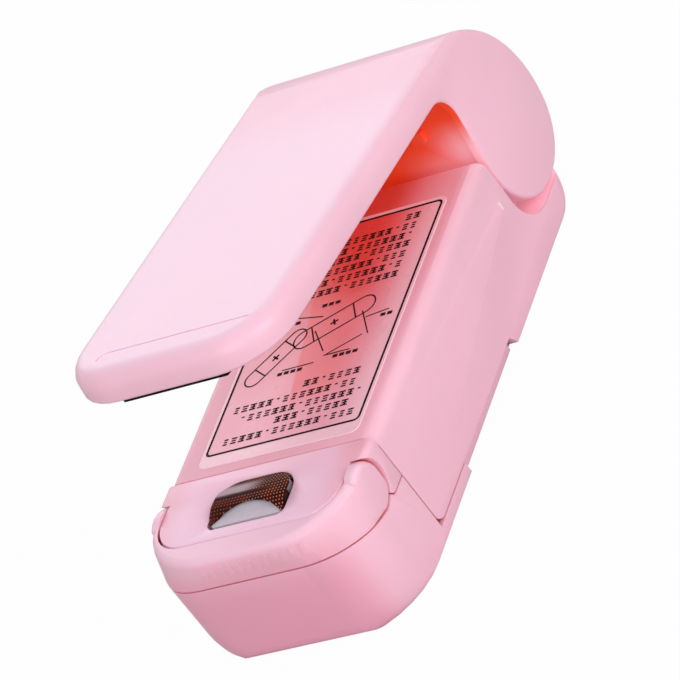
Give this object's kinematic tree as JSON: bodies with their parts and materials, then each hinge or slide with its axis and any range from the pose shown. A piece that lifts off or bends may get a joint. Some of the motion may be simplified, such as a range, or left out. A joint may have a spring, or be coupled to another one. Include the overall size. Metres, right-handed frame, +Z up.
{
  "type": "hand-held bag sealer",
  "caption": "Pocket heat sealer for bags: a sprung lever on a round rear hinge presses a rubber pad onto a heated bar; a swing-up guard bars it.",
  "frame": {"origin": "middle of the flat underside, on the face of the battery door, level with the lower case", "axes": "+Z up, +Y to the rear, where the lever is hinged, +X to the right seen from the heater end"},
  "size_m": [0.0404, 0.1079, 0.0518],
  "materials": {
    "pink_plastic": "satin",
    "label_film": "gloss",
    "steel": "satin",
    "brass": "satin",
    "nichrome": "satin",
    "carrier_plastic": "matt",
    "silicone": "matt",
    "glass_cloth": "satin",
    "black_rubber": "matt",
    "cell_wrap": "gloss",
    "red_sleeve": "satin",
    "black_sleeve": "satin"
  },
  "bodies": {
    "base": {"lower_case": "pink_plastic", "upper_case": "pink_plastic", "instruction_label": "label_film", "heater_panel": "pink_plastic", "guard_pin_left": "steel", "guard_pin_right": "steel", "hinge_pin": "steel", "lever_spring": "steel", "heater_spring_left": "steel", "heater_spring_right": "steel", "switch_contact_fixed": "brass", "contact_plate_positive": "steel", "contact_plate_negative": "steel", "bridge_plate": "steel", "battery_spring_rear": "steel", "battery_spring_front": "steel", "battery_left": "cell_wrap", "battery_right": "cell_wrap", "wire_positive": "red_sleeve", "wire_negative": "black_sleeve", "screw_front_left": "steel", "screw_front_right": "steel", "screw_rear_left": "steel", "screw_rear_right": "steel"},
    "guard": {"safety_guard": "pink_plastic"},
    "lever": {"lever": "pink_plastic", "rubber_pad": "black_rubber"},
    "heater": {"heater_carriage": "carrier_plastic", "heater_base": "silicone", "heater_ribbon": "nichrome", "heater_cloth": "glass_cloth", "ribbon_terminal_left": "brass", "ribbon_terminal_right": "brass", "switch_contact_moving": "brass"},
    "door": {"battery_door": "pink_plastic"}
  },
  "joints": [
    {"name": "lever_hinge", "type": "hinge", "parent": "base", "child": "lever", "pos_m": [0, 0.0509, 0.0176], "axis": [1, 0, 0], "range_deg": [0, 14.6], "stiffness_Nm_per_rad": 0.15, "springref_deg": -20.05},
    {"name": "guard_swing", "type": "hinge", "parent": "base", "child": "guard", "pos_m": [0, -0.032, 0.0187], "axis": [1, 0, 0], "range_deg": [-26, 0]},
    {"name": "heater_press", "type": "slide", "parent": "base", "child": "heater", "axis": [0, 0, -1], "range_m": [0, 0.0012], "stiffness_N_per_m": 800, "springref_m": -0.001, "deforming": ["heater_spring_left", "heater_spring_right"]},
    {"name": "door_pull", "type": "slide", "parent": "base", "child": "door", "axis": [0, 0, -1], "range_m": [0, 0.008]}
  ]
}
